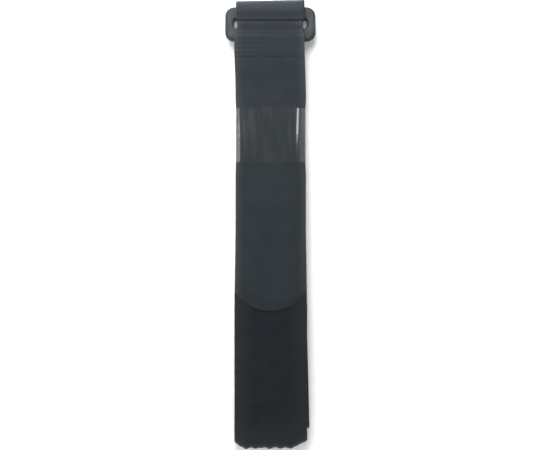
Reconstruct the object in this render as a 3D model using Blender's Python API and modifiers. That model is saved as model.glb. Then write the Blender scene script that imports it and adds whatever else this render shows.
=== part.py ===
"""A one inch hook and loop cable tie, closed through its ring, folded in half and banded.

The long loop tape is held to the ring by a fixed loop round the ring's top bar. From there it
runs down the back, turns up at the outer fold, turns down again below the ring, turns up once
more at the inner fold, and comes up through the slot and over the bottom bar. There its end is
welded over the start of the hook tape, which runs down the front to a rounded tip. A clear
film band holds the bundle. X is across the tape, Y along it towards the ring, and Z up.
"""
import math
from collections import namedtuple

import bmesh
import bpy
from mathutils import Vector

MM = 0.001

# The two tapes
LOOP_WIDTH = 25.4 * MM
LOOP_THICK = 1.5 * MM
CRUSHED_THICK = 1.2 * MM
HOOK_WIDTH = 24.6 * MM
HOOK_THICK = 1.2 * MM
SLOT_TAPE_WIDTH = 23.9 * MM
DRAWN_IN = 0.8 * MM
CLEARANCE = 0.3 * MM

# The ring, lying tilted between the layers
RING_Y = 70.05 * MM
RING_WIDTH = 31.7 * MM
RING_THICK = 2.6 * MM
RING_CORNER = 3.2 * MM
RING_RIM = 1.15 * MM
BAR_DEPTH = 4.75 * MM
SLOT_EASE = 0.1 * MM
SLOT_SIDE_EASE = 0.75 * MM
SLOT_CORNER = 1.2 * MM

# Where the tapes end and turn, measured from the ring
FOLDED_LENGTH = 148.4 * MM
INNER_FOLD_SHORT = 6.7 * MM
FAR_FOLD_BELOW_RING = 5.0 * MM
TAIL_LENGTH = 17.0 * MM
LAP_BELOW_RING = 5.2 * MM
HOOK_REACH = 100.4 * MM
TIP_RADIUS = 15.1 * MM
TIP_ZONE = 13.0 * MM
SETTLE_RADIUS = 30.0 * MM
SETTLE_BELOW_RING = 14.0 * MM

# The welded patches
TAIL_WELDED = 0.9 * MM
LAP_WELDED = 0.65 * MM
HOOK_WELDED = 0.6 * MM
WELD_PITCH = 1.6 * MM
WELD_ROWS = 7
PIT_LAND = 0.28 * MM
PIT_WALL = 0.14 * MM
PIT_DEPTH = 0.22 * MM

# The clear film band
BAND_TOP_BELOW_RING = 29.8 * MM
BAND_LENGTH = 18.6 * MM
BAND_BOW = 0.6 * MM
BAND_WIDTH = 24.4 * MM
BAND_TOP_CORNER = 1.8 * MM
BAND_FOOT_CORNER = 0.5 * MM
FILM_THICK = 0.2 * MM
BAND_SIDE_EASE = 0.13 * MM
GRIP_FADE = 4.5 * MM

# How the handled tape strays from a straight stack
BODY_SHIFT = 0.13 * MM
LAP_SHIFT = -0.45 * MM
WRAP_SHIFT = 0.23 * MM
INNER_SHIFT = 0.88 * MM
INNER_SHIFT_LENGTH = 32.0 * MM
WRAP_SLACK = 0.65 * MM
WRAP_SLANT = 0.022
FOLD_ZONE = 14.0 * MM
FOLD_RECESS_LEFT = 1.8 * MM
FOLD_RECESS_RIGHT = 2.7 * MM
SCALLOP_DEPTH = 0.22 * MM
SCALLOP_PERIOD = 3.7 * MM
DRAW_LENGTH = 34.0 * MM

# Mesh fineness
COLUMNS = 15
ARC_STEP = math.radians(22.5)
CORNER_STEPS = 5
RIM_STEPS = 4

# Heights at the ring: the back run, the welded tail, the last run, then the bottom bar
BAR_RADIUS = RING_THICK / 2
SLOT_HEIGHT = 2 * CRUSHED_THICK + 3 * CLEARANCE + SLOT_EASE
TOP_BAR_Z = CRUSHED_THICK + CLEARANCE + BAR_RADIUS
TAIL_PILE_Z = CRUSHED_THICK + CLEARANCE + TAIL_WELDED
LAST_RUN_Z = TAIL_PILE_Z + CLEARANCE + CRUSHED_THICK
BOTTOM_BAR_Z = LAST_RUN_Z + CLEARANCE + BAR_RADIUS
RING_TILT = math.asin((BOTTOM_BAR_Z - TOP_BAR_Z) / (SLOT_HEIGHT + BAR_DEPTH))
INNER_BEND = SLOT_HEIGHT / 2 + BAR_RADIUS
OUTER_BEND = SLOT_HEIGHT / 2 + BAR_DEPTH - BAR_RADIUS
RING_Z = TOP_BAR_Z + OUTER_BEND * math.sin(RING_TILT)
RING_BOTTOM_Y = RING_Y - OUTER_BEND * math.cos(RING_TILT) - BAR_RADIUS

# Heights in the stack at the folds, and where things lie along it
FOLD_RADIUS = 2 * LOOP_THICK + 1.5 * CLEARANCE
FOLD_END_Y = RING_Y - FOLDED_LENGTH
INNER_FOLD_Y = FOLD_END_Y + INNER_FOLD_SHORT
FAR_FOLD_Y = RING_BOTTOM_Y - FAR_FOLD_BELOW_RING
FAR_FOLD_RADIUS = CRUSHED_THICK + CLEARANCE / 2
FAR_FOLD_Z = LAST_RUN_Z + CLEARANCE + FAR_FOLD_RADIUS
FRONT_Z = max(2 * FOLD_RADIUS, FAR_FOLD_Z + FAR_FOLD_RADIUS)
LAP_END_Y = RING_BOTTOM_Y - LAP_BELOW_RING
TIP_Y = RING_Y - HOOK_REACH
BAND_HIGH_Y = RING_Y - BAND_TOP_BELOW_RING
BAND_LOW_Y = BAND_HIGH_Y - BAND_LENGTH
STACK_TOP = FRONT_Z + CLEARANCE + HOOK_THICK

# At the band the edges drop far enough to clear its rounded corners
WAIST_WIDTH = BAND_WIDTH - 2 * (FILM_THICK + CLEARANCE + BAND_SIDE_EASE)
CORNER_ROOM = BAND_TOP_CORNER - FILM_THICK - CLEARANCE
EDGE_DROP = CORNER_ROOM - math.sqrt(CORNER_ROOM ** 2 - (CORNER_ROOM - BAND_SIDE_EASE) ** 2)

Bend = namedtuple("Bend", "run centre radius turn")
Station = namedtuple("Station", "run point heading")


def clear_scene():
    for item in list(bpy.data.objects):
        bpy.data.objects.remove(item, do_unlink=True)


def new_collection(name):
    collection = bpy.data.collections.new(name)
    bpy.context.scene.collection.children.link(collection)
    return collection


def new_material(name, colour, roughness, alpha=1.0):
    material = bpy.data.materials.new(name)
    material.use_nodes = True
    shader = material.node_tree.nodes["Principled BSDF"]
    shader.inputs["Base Color"].default_value = (*colour, 1.0)
    shader.inputs["Roughness"].default_value = roughness
    shader.inputs["Metallic"].default_value = 0.0
    shader.inputs["Alpha"].default_value = alpha
    return material


def add_object(name, mesh, collection, material):
    item = bpy.data.objects.new(name, mesh)
    collection.objects.link(item)
    mesh.materials.append(material)
    return item


def smooth(value, low, high):
    """Ease from 0 at low to 1 at high."""
    share = min(max((value - low) / (high - low), 0.0), 1.0)
    return share * share * (3 - 2 * share)


# A tape's route in the plane of Y and Z, drawn tight over bends like a belt over pulleys

def tangent(first, second):
    """Heading of the straight from one bend to the next."""
    across = second.centre - first.centre
    shift = second.turn * second.radius - first.turn * first.radius
    length = math.sqrt(across.length_squared - shift ** 2)
    return math.atan2(across.y, across.x) - math.atan2(shift, length)


def contact(bend, heading):
    left = Vector((-math.sin(heading), math.cos(heading)))
    return bend.centre - left * (bend.turn * bend.radius)


def arc_stations(bend, heading_in, heading_out):
    full_turn = 2 * math.pi
    sweep = (heading_out - heading_in) % full_turn
    if bend.turn < 0:
        sweep -= full_turn
    steps = max(1, math.ceil(abs(sweep) / ARC_STEP - 0.01))
    headings = [heading_in + sweep * step / steps for step in range(1, steps + 1)]
    return [Station(bend.run, contact(bend, heading), heading) for heading in headings]


def straight_stations(run, start, end, heading, cuts):
    """Stations where the straight crosses the cut lines, and one at its end."""
    margin = 0.5 * MM
    low, high = sorted((start.x, end.x))
    crossed = sorted((cut for cut in cuts if low + margin < cut < high - margin),
                     reverse=start.x > end.x)
    shares = [(cut - start.x) / (end.x - start.x) for cut in crossed] + [1.0]
    return [Station(run, start.lerp(end, share), heading) for share in shares]


def belt(bends, cuts_for):
    headings = [tangent(first, second) for first, second in zip(bends, bends[1:])]
    stations = [Station(bends[0].run, contact(bends[0], headings[0]), headings[0])]
    for index, heading in enumerate(headings):
        bend = bends[index]
        if index > 0:
            stations += arc_stations(bend, stations[-1].heading, heading)
        start = contact(bend, heading)
        end = contact(bends[index + 1], heading)
        stations += straight_stations(bend.run, start, end, heading, cuts_for(bend.run))
    return stations


def ring_point(along):
    """A point in the ring's middle plane, by its distance from the ring's centre."""
    return Vector((RING_Y + along * math.cos(RING_TILT), RING_Z - along * math.sin(RING_TILT)))


BAR_GAP_RADIUS = BAR_RADIUS + CLEARANCE
WRAP_RADIUS = BAR_GAP_RADIUS + CRUSHED_THICK
SETTLE = Bend("front", Vector((RING_BOTTOM_Y - SETTLE_BELOW_RING,
                               FRONT_Z + CLEARANCE + SETTLE_RADIUS)), SETTLE_RADIUS, -1)
OVER_SLOT_EDGE = Bend("slot", ring_point(-INNER_BEND), BAR_GAP_RADIUS, 1)
OVER_BAR_EDGE = Bend("lap", ring_point(-OUTER_BEND), BAR_GAP_RADIUS, 1)


def lap_end_bend():
    """The end of the loop tape, on the straight between the bottom bar and the stack."""
    heading = tangent(OVER_BAR_EDGE, SETTLE)
    start = contact(OVER_BAR_EDGE, heading)
    length = (LAP_END_Y - start.x) / math.cos(heading)
    end = start + Vector((math.cos(heading), math.sin(heading))) * length
    return Bend("lap", end, 0.0, 0)


def loop_bends():
    slot_edge = ring_point(-INNER_BEND)
    tail_end = Vector((slot_edge.x - TAIL_LENGTH, TAIL_PILE_Z))
    tail_radius = WRAP_RADIUS + CLEARANCE
    return [
        Bend("tail", tail_end, 0.0, 0),
        Bend("tail", slot_edge, tail_radius, 1),
        Bend("wrap", ring_point(INNER_BEND), WRAP_RADIUS, -1),
        Bend("back", ring_point(OUTER_BEND), WRAP_RADIUS, -1),
        Bend("front", Vector((FOLD_END_Y + FOLD_RADIUS, FOLD_RADIUS)), FOLD_RADIUS, -1),
        Bend("inner", Vector((FAR_FOLD_Y - FAR_FOLD_RADIUS, FAR_FOLD_Z)), FAR_FOLD_RADIUS, -1),
        Bend("inner", Vector((INNER_FOLD_Y + LOOP_THICK + CLEARANCE / 2, FOLD_RADIUS)),
             CLEARANCE / 2, 1),
        OVER_SLOT_EDGE,
        OVER_BAR_EDGE,
        lap_end_bend(),
    ]


def hook_bends():
    tip = Vector((TIP_Y, FRONT_Z + CLEARANCE))
    return [OVER_SLOT_EDGE, OVER_BAR_EDGE, SETTLE, Bend("tip", tip, 0.0, 0)]


def weld_lines(first):
    return [first - row * WELD_PITCH for row in range(WELD_ROWS + 1)]


def cuts_for_run(run):
    """Lines across the tape where its width, place or thickness starts or ends changing."""
    band = [BAND_HIGH_Y + GRIP_FADE, BAND_HIGH_Y + GRIP_FADE / 2, BAND_HIGH_Y,
            BAND_LOW_Y, BAND_LOW_Y - GRIP_FADE / 2, BAND_LOW_Y - GRIP_FADE]
    drawn = [TIP_Y + DRAW_LENGTH, TIP_Y + DRAW_LENGTH / 2, TIP_Y]
    fold = [FOLD_END_Y + FOLD_ZONE * share for share in (1.0, 0.75, 0.5)]
    shift = [INNER_FOLD_Y + INNER_SHIFT_LENGTH, INNER_FOLD_Y + INNER_SHIFT_LENGTH / 2]
    ring = [BAND_HIGH_Y + GRIP_FADE + 6 * MM]
    tip = [TIP_Y + TIP_ZONE * share for share in (1.0, 0.8, 0.6, 0.4, 0.2)]
    lap = weld_lines(LAP_END_Y + WELD_PITCH * WELD_ROWS)
    hook_top = [LAP_END_Y, LAP_END_Y - WELD_PITCH / 2, LAP_END_Y - WELD_PITCH]
    lines = {
        "tail": ring,
        "back": band + drawn + fold + weld_lines(ring_point(-INNER_BEND).x - WELD_PITCH),
        "front": band + drawn + fold + ring,
        "inner": band + drawn + shift + ring,
        "lap": lap,
        "hook": band + ring + tip + hook_top,
    }
    return lines.get(run, [])


# How each station's width, place and thickness follow the bundle

def band_grip(y):
    """1 under the band, fading to 0 on both sides of it."""
    above = 1 - smooth(y, BAND_HIGH_Y, BAND_HIGH_Y + GRIP_FADE)
    below = smooth(y, BAND_LOW_Y - GRIP_FADE, BAND_LOW_Y)
    return above * below


def centre_x(y):
    lap = smooth(y, BAND_HIGH_Y + GRIP_FADE, RING_BOTTOM_Y)
    wrap = smooth(y, RING_BOTTOM_Y, RING_Y)
    return BODY_SHIFT + LAP_SHIFT * lap + WRAP_SHIFT * wrap


def tape_width(y, free_width):
    in_ring = smooth(y, RING_BOTTOM_Y, RING_Y - SLOT_HEIGHT / 2)
    loose = free_width + (SLOT_TAPE_WIDTH - free_width) * in_ring
    return loose + (WAIST_WIDTH - loose) * band_grip(y)


def loop_width(y):
    drawn = DRAWN_IN * smooth(y, TIP_Y, TIP_Y + DRAW_LENGTH)
    return tape_width(y, LOOP_WIDTH - drawn)


def squeeze(y, across):
    """Share of its height that a point keeps where the band rounds off the bundle's edges."""
    return 1 - EDGE_DROP / STACK_TOP * abs(across) ** 6 * band_grip(y)


def fold_shift(y, across):
    """The outer fold's ends draw back at its corners, and its edge is scalloped."""
    recess = FOLD_RECESS_LEFT if across < 0 else FOLD_RECESS_RIGHT
    corner_start = 0.62
    corner = max(0.0, (abs(across) - corner_start) / (1 - corner_start)) ** 1.3
    x = across * LOOP_WIDTH / 2
    scallop = SCALLOP_DEPTH * math.cos(2 * math.pi * x / SCALLOP_PERIOD)
    near_fold = 1 - smooth(y, FOLD_END_Y + FOLD_RADIUS, FOLD_END_Y + FOLD_ZONE)
    at_edge = 1 - smooth(y, FOLD_END_Y, FOLD_END_Y + FOLD_RADIUS)
    return recess * corner * near_fold - scallop * at_edge


def wrap_shift(y, x):
    """The fixed loop lies slack on the ring's top edge, a little further on the right."""
    reach = smooth(y, ring_point(OUTER_BEND).x - BAR_RADIUS, RING_Y + OUTER_BEND + WRAP_RADIUS)
    return (WRAP_SLACK + WRAP_SLANT * x) * reach


def lap_share(run, heading):
    """0 in the slot, 1 where the loop tape's end lies on the hook tape."""
    return smooth(heading, math.pi / 2, 5 * math.pi / 6) if run in ("slot", "lap") else 0.0


def loop_thickness(station):
    run, point, heading = station
    if run == "tail":
        return TAIL_WELDED + (CRUSHED_THICK - TAIL_WELDED) * smooth(heading, 0, math.pi / 3)
    slot_edge_y = ring_point(-INNER_BEND).x
    share = min(1.0, max(0.0, (slot_edge_y - point.x) / (slot_edge_y - FOLD_END_Y)))
    thick = CRUSHED_THICK + (LOOP_THICK - CRUSHED_THICK) * share
    return thick + (LAP_WELDED - thick) * lap_share(run, heading)


def place_loop(station, across):
    """Where a point of the pile side lies, and how thick the tape is there."""
    run, point, heading = station
    lift = (HOOK_WELDED + CLEARANCE) * lap_share(run, heading)
    y = point.x + math.sin(heading) * lift
    z = point.y - math.cos(heading) * lift
    x = centre_x(y) + across * loop_width(y) / 2
    kept = squeeze(y, across)
    z *= kept
    if run == "back":
        z += (FILM_THICK + CLEARANCE) * band_grip(y)
    if run == "inner":
        x += INNER_SHIFT * (1 - smooth(y, INNER_FOLD_Y, INNER_FOLD_Y + INNER_SHIFT_LENGTH))
    if run in ("back", "front"):
        y += fold_shift(y, across)
    if run in ("wrap", "back"):
        y += wrap_shift(y, x)
    return Vector((x, y, z)), loop_thickness(station) * kept


def place_hook(station, across):
    """Where a point of the hook side lies, and how thick the tape is there."""
    y, z = station.point
    x = centre_x(y) + across * tape_width(y, HOOK_WIDTH) / 2
    kept = squeeze(y, across)
    welded = smooth(y, LAP_END_Y - WELD_PITCH, LAP_END_Y)
    thick = HOOK_THICK + (HOOK_WELDED - HOOK_THICK) * welded
    tip_start = TIP_Y + TIP_ZONE
    if y < tip_start:
        edge = TIP_Y + TIP_RADIUS - math.sqrt(TIP_RADIUS ** 2 - (across * HOOK_WIDTH / 2) ** 2)
        y = tip_start + (edge - tip_start) * (tip_start - y) / TIP_ZONE
    return Vector((x, y, z * kept)), thick * kept


def build_tape(name, stations, place, thickest, collection, material):
    """A grid laid along the route, thickened away from its pile or hook side."""
    shape = bmesh.new()
    bmesh.ops.create_grid(shape, x_segments=COLUMNS, y_segments=len(stations) - 1, size=1.0)
    weights = {}
    shape.verts.ensure_lookup_table()
    for vertex in shape.verts:
        row = round((vertex.co.y + 1) / 2 * (len(stations) - 1))
        weights[vertex.index] = place(stations[row], vertex.co.x)
    for vertex in shape.verts:
        vertex.co = weights[vertex.index][0]
    mesh = bpy.data.meshes.new(name)
    shape.to_mesh(mesh)
    shape.free()
    tape = add_object(name, mesh, collection, material)
    group = tape.vertex_groups.new(name="thickness")
    for index, (_, thick) in weights.items():
        group.add([index], thick / thickest, "REPLACE")
    solidify = tape.modifiers.new("thickness", "SOLIDIFY")
    solidify.thickness = thickest
    solidify.offset = -1.0
    solidify.vertex_group = group.name
    solidify.thickness_vertex_group = 0.0
    return tape


def apply_modifiers(item):
    depsgraph = bpy.context.evaluated_depsgraph_get()
    mesh = bpy.data.meshes.new_from_object(item.evaluated_get(depsgraph))
    item.modifiers.clear()
    item.vertex_groups.clear()
    item.data = mesh


def press_weld(tape, low_y, high_y, side):
    """Press a grid of pits into the faces between two lines, on the top (1) or the bottom (-1)."""
    shape = bmesh.new()
    shape.from_mesh(tape.data)
    top_of_tape = max(vertex.co.z for vertex in shape.verts)
    pits = []
    for face in shape.faces:
        middle = face.calc_center_median()
        outside = middle.z > top_of_tape - 2 * LAP_WELDED if side > 0 else middle.z < PIT_DEPTH
        along = max(edge.calc_length() for edge in face.edges)
        short = min(edge.calc_length() for edge in face.edges)
        if low_y < middle.y < high_y and outside and side * face.normal.z > 0.8:
            if short > 2.2 * (PIT_LAND + PIT_WALL) and along < 2 * WELD_PITCH:
                pits.append(face)
    bmesh.ops.inset_individual(shape, faces=pits, thickness=PIT_LAND, depth=0.0)
    bmesh.ops.inset_individual(shape, faces=pits, thickness=PIT_WALL, depth=-PIT_DEPTH)
    shape.to_mesh(tape.data)
    shape.free()


def build_loop_tape(collection, material):
    stations = belt(loop_bends(), cuts_for_run)
    tape = build_tape("loop_tape", stations, place_loop, LOOP_THICK, collection, material)
    apply_modifiers(tape)
    press_weld(tape, LAP_END_Y, RING_Y, 1)
    slot_edge_y = ring_point(-INNER_BEND).x
    press_weld(tape, slot_edge_y - WELD_PITCH * (WELD_ROWS + 1), slot_edge_y - WELD_PITCH, -1)
    return tape


def build_hook_tape(collection, material):
    stations = belt(hook_bends(), lambda run: cuts_for_run("hook"))
    return build_tape("hook_tape", stations, place_hook, HOOK_THICK, collection, material)


def rounded_plate(name, width, depth, thickness, corner, collection, material):
    """A flat block whose four upright edges are rounded."""
    shape = bmesh.new()
    bmesh.ops.create_cube(shape, size=1.0)
    bmesh.ops.scale(shape, verts=shape.verts, vec=(width, depth, thickness))
    upright = [edge for edge in shape.edges
               if abs(edge.verts[0].co.z - edge.verts[1].co.z) > thickness / 2]
    bmesh.ops.bevel(shape, geom=upright, offset=corner, segments=CORNER_STEPS,
                    profile=0.5, affect="EDGES")
    mesh = bpy.data.meshes.new(name)
    shape.to_mesh(mesh)
    shape.free()
    return add_object(name, mesh, collection, material)


def build_ring(parts, cutters, material):
    """The moulded ring: a rounded plate with one slot and fully rounded bars."""
    depth = SLOT_HEIGHT + 2 * BAR_DEPTH
    ring = rounded_plate("slot_ring", RING_WIDTH, depth, RING_THICK, RING_CORNER,
                         parts, material)
    slot_width = SLOT_TAPE_WIDTH + 2 * SLOT_SIDE_EASE
    slot = rounded_plate("slot_cutter", slot_width, SLOT_HEIGHT, 2 * RING_THICK, SLOT_CORNER,
                         cutters, material)
    slot.hide_render = True
    slot.display_type = "WIRE"
    for item in (ring, slot):
        item.location = (0.0, RING_Y, RING_Z)
        item.rotation_euler = (-RING_TILT, 0.0, 0.0)
    cut = ring.modifiers.new("slot", "BOOLEAN")
    cut.operation = "DIFFERENCE"
    cut.object = slot
    rim = ring.modifiers.new("rim", "BEVEL")
    rim.width = RING_RIM
    rim.segments = RIM_STEPS
    rim.limit_method = "ANGLE"
    rim.angle_limit = math.radians(60)
    ring.data.shade_smooth()
    return ring


def band_section():
    """The film's outer outline in X and Z, round a bundle that is rounded at its top edges."""
    half = BAND_WIDTH / 2
    top = STACK_TOP + CLEARANCE + FILM_THICK
    corners = [(half, 0.0, BAND_FOOT_CORNER, 270), (half, top, BAND_TOP_CORNER, 0),
               (-half, top, BAND_TOP_CORNER, 90), (-half, 0.0, BAND_FOOT_CORNER, 180)]
    outline = []
    for x, z, radius, start in corners:
        middle_x = x - math.copysign(radius, x)
        middle_z = z + radius if z == 0.0 else z - radius
        for step in range(CORNER_STEPS + 1):
            angle = math.radians(start + 90 * step / CORNER_STEPS)
            outline.append((middle_x + radius * math.cos(angle),
                            middle_z + radius * math.sin(angle)))
    return outline


def build_band(collection, material):
    """A closed sleeve of film, its two edges bowed a little on the front."""
    outline = band_section()
    shape = bmesh.new()
    rows = 4
    bmesh.ops.create_circle(shape, cap_ends=False, radius=1.0, segments=len(outline))
    loop = list(shape.verts)
    for vertex, (x, z) in zip(loop, outline):
        vertex.co = (x, BAND_LOW_Y, z)
    edges = list(shape.edges)
    for row in range(rows):
        made = bmesh.ops.extrude_edge_only(shape, edges=edges)["geom"]
        edges = [item for item in made if isinstance(item, bmesh.types.BMEdge)]
        raised = [item for item in made if isinstance(item, bmesh.types.BMVert)]
        bmesh.ops.translate(shape, verts=raised, vec=(0.0, BAND_LENGTH / rows, 0.0))
    front = STACK_TOP
    for vertex in shape.verts:
        share = (vertex.co.y - BAND_LOW_Y) / BAND_LENGTH
        crown = max(0.0, 1 - (vertex.co.x / (BAND_WIDTH / 2)) ** 2) * min(1.0, vertex.co.z / front)
        vertex.co.y += BAND_BOW * crown * max(0.0, 2 * share - 1)
        vertex.co.x += centre_x(BAND_LOW_Y)
    bmesh.ops.recalc_face_normals(shape, faces=shape.faces)
    mesh = bpy.data.meshes.new("clear_band")
    shape.to_mesh(mesh)
    shape.free()
    band = add_object("clear_band", mesh, collection, material)
    film = band.modifiers.new("film", "SOLIDIFY")
    film.thickness = FILM_THICK
    film.offset = -1.0
    film.use_even_offset = True
    band.data.shade_smooth()
    return band


def main():
    clear_scene()
    parts = new_collection("hook_and_loop_cable_tie")
    cutters = new_collection("cutters")
    loop_pile = new_material("loop_pile", (0.021, 0.024, 0.029), 0.95)
    hook_back = new_material("hook_back", (0.036, 0.043, 0.050), 0.75)
    black_plastic = new_material("black_plastic", (0.030, 0.034, 0.038), 0.45)
    clear_film = new_material("clear_film", (0.85, 0.88, 0.90), 0.08, alpha=0.15)
    build_loop_tape(parts, loop_pile)
    build_hook_tape(parts, hook_back)
    build_ring(parts, cutters, black_plastic)
    build_band(parts, clear_film)


main()
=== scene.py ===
"""Looks of a one inch hook and loop cable tie, closed through its ring, folded and banded.

The two tapes are laid again along the routes of their CAD solids, with rounded selvedges, pile,
weave and welded dots. X is across the tape, Y along it towards the ring, and Z up, in metres.
"""
import math
import random
from collections import namedtuple

import bmesh
import bpy
from mathutils import Matrix, Vector, noise


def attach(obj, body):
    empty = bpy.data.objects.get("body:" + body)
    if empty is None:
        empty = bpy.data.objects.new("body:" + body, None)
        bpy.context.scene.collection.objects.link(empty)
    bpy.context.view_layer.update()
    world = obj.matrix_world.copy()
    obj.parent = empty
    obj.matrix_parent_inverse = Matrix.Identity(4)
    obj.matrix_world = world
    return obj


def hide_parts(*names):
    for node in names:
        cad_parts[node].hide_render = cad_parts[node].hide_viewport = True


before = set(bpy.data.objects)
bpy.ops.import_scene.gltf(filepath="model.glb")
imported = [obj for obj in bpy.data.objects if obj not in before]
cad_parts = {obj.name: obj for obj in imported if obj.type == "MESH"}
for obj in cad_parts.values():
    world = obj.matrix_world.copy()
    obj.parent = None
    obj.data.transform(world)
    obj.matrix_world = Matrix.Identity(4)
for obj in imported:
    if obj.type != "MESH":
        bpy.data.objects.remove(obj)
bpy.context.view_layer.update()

MM = 0.001

# The tapes, the ring and the band's place, as in the CAD
LOOP_WIDTH = 25.4 * MM
LOOP_THICK = 1.5 * MM
CRUSHED_THICK = 1.2 * MM
HOOK_WIDTH = 24.6 * MM
HOOK_THICK = 1.2 * MM
SLOT_TAPE_WIDTH = 23.9 * MM
DRAWN_IN = 0.8 * MM
CLEARANCE = 0.3 * MM
RING_Y = 70.05 * MM
RING_WIDTH = 31.7 * MM
RING_THICK = 2.6 * MM
RING_CORNER = 3.2 * MM
RING_RIM = 1.15 * MM
BAR_DEPTH = 4.75 * MM
SLOT_EASE = 0.1 * MM
SLOT_SIDE_EASE = 0.75 * MM
SLOT_CORNER = 1.2 * MM
FOLDED_LENGTH = 148.4 * MM
INNER_FOLD_SHORT = 6.7 * MM
FAR_FOLD_BELOW_RING = 5.0 * MM
TAIL_LENGTH = 17.0 * MM
LAP_BELOW_RING = 5.2 * MM
HOOK_REACH = 100.4 * MM
TIP_RADIUS = 15.1 * MM
TIP_ZONE = 13.0 * MM
SETTLE_RADIUS = 30.0 * MM
SETTLE_BELOW_RING = 14.0 * MM
TAIL_WELDED = 0.9 * MM
LAP_WELDED = 0.65 * MM
HOOK_WELDED = 0.6 * MM
WELD_PITCH = 1.6 * MM
WELD_ROWS = 7
BAND_TOP_BELOW_RING = 29.8 * MM
BAND_LENGTH = 18.6 * MM
BAND_BOW = 0.6 * MM
BAND_FOOT_CORNER = 0.5 * MM
GRIP_FADE = 4.5 * MM
BODY_SHIFT = 0.13 * MM
LAP_SHIFT = -0.45 * MM
WRAP_SHIFT = 0.23 * MM
INNER_SHIFT = 0.88 * MM
WRAP_SLANT = 0.022
FOLD_ZONE = 14.0 * MM
DRAW_LENGTH = 34.0 * MM

BAR_RADIUS = RING_THICK / 2
SLOT_HEIGHT = 2 * CRUSHED_THICK + 3 * CLEARANCE + SLOT_EASE
TOP_BAR_Z = CRUSHED_THICK + CLEARANCE + BAR_RADIUS
TAIL_PILE_Z = CRUSHED_THICK + CLEARANCE + TAIL_WELDED
LAST_RUN_Z = TAIL_PILE_Z + CLEARANCE + CRUSHED_THICK
BOTTOM_BAR_Z = LAST_RUN_Z + CLEARANCE + BAR_RADIUS
RING_TILT = math.asin((BOTTOM_BAR_Z - TOP_BAR_Z) / (SLOT_HEIGHT + BAR_DEPTH))
INNER_BEND = SLOT_HEIGHT / 2 + BAR_RADIUS
OUTER_BEND = SLOT_HEIGHT / 2 + BAR_DEPTH - BAR_RADIUS
RING_Z = TOP_BAR_Z + OUTER_BEND * math.sin(RING_TILT)
RING_BOTTOM_Y = RING_Y - OUTER_BEND * math.cos(RING_TILT) - BAR_RADIUS
FOLD_RADIUS = 2 * LOOP_THICK + 1.5 * CLEARANCE
FOLD_END_Y = RING_Y - FOLDED_LENGTH
INNER_FOLD_Y = FOLD_END_Y + INNER_FOLD_SHORT
FAR_FOLD_Y = RING_BOTTOM_Y - FAR_FOLD_BELOW_RING
FAR_FOLD_RADIUS = CRUSHED_THICK + CLEARANCE / 2
FAR_FOLD_Z = LAST_RUN_Z + CLEARANCE + FAR_FOLD_RADIUS
FRONT_Z = max(2 * FOLD_RADIUS, FAR_FOLD_Z + FAR_FOLD_RADIUS)
LAP_END_Y = RING_BOTTOM_Y - LAP_BELOW_RING
TIP_Y = RING_Y - HOOK_REACH
BAND_HIGH_Y = RING_Y - BAND_TOP_BELOW_RING
BAND_LOW_Y = BAND_HIGH_Y - BAND_LENGTH
STACK_TOP = FRONT_Z + CLEARANCE + HOOK_THICK

# The film, near its real thickness, its gap to the tape, and how the edges under it drop
BAND_WIDTH = 24.55 * MM
FILM_THICK = 0.06 * MM
FILM_GAP = 0.05 * MM
FILM_CORNER = 0.55 * MM
FILM_FRONT_DEPTH = 1.5 * MM
WAIST_WIDTH = BAND_WIDTH - 2 * (FILM_THICK + FILM_GAP)
EDGE_DROP = 0.9 * MM
EDGE_POWER = 12

# The bundle's crown, which starts and is full so far below the ring
CROWN = 0.55 * MM
CROWN_POWER = 3
CROWN_START = 4 * MM
CROWN_FULL = 14 * MM

# The fixed loop's slack: how far it reaches past the bar, and how high it stands over it
WRAP_SLACK = 0.9 * MM
WRAP_PUFF = 1.15 * MM
PUFF_DEPTH = 2.2 * MM
PUFF_RISE_START = 0.8 * MM
PUFF_RISE_END = 4.8 * MM
PUFF_FALL_START = 4.35 * MM
PUFF_FALL_END = 8.15 * MM

# The slot: how the tapes fill it, round its edges, and are drawn in by it
SLOT_FILL = 0.20 * MM
SLOT_SHOULDER = 6.0 * MM
WRAP_FILL_HEADING = math.pi / 8
LAP_FILL_HEADINGS = (0.7 * math.pi, 0.88 * math.pi)
LAP_FILL_BELOW = 2 * MM
SLOT_PINCH = 1.5 * MM
PINCH_LENGTH = 1.6 * MM
PINCH_BELOW = 0.35 * MM

# The lap weld: where the loop tape thins, and the hook tape steps down to meet it
WELD_GAP = 0.03 * MM
TAIL_PRESS_HEADING = math.pi / 3
LAP_PRESS_HEADINGS = (math.pi / 2, 5 * math.pi / 6)
LAP_END_THICK = 0.5 * MM
LAP_END_TAPER = 1.5 * MM
WELD_STEP_START = 0.14 * MM
WELD_STEP_END = 0.02 * MM

# The pits of the welding horn: columns, clear columns at each side, and shares of a pit's half
WELD_COLUMNS = 15
WELD_SIDE = 0.3
PIT_FLOOR = 0.45
PIT_RIM = 0.8
PIT_DEPTH = 0.16 * MM
PIT_FADE = 0.6
PIT_FADE_ACROSS = (-0.65, 0.1)
PIT_END_START = 3.4 * MM
PIT_END = 1.6 * MM

# The hook tape's tip, which settles into the pile and thins to a rim
TIP_SETTLE = 0.45 * MM
TIP_RIM = 0.36
TIP_RIM_SIDES = 0.75
TIP_SIDE_START = 0.45
TIP_SIDE_END = 0.95
TIP_LAST = 0.15 * MM
TIP_ROUNDING = 8

# The inner fold's shift, and the outer fold's corners, whose starts are shares of half the width
INNER_SHIFT_LENGTH = 34.0 * MM
INNER_SHIFT_POWER = 0.8
FOLD_RECESS_LEFT = 1.75 * MM
FOLD_RECESS_RIGHT = 2.45 * MM
FOLD_CORNER_LEFT = 0.76
FOLD_CORNER_RIGHT = 0.60
FOLD_CORNER_POWER = 1.05

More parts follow.
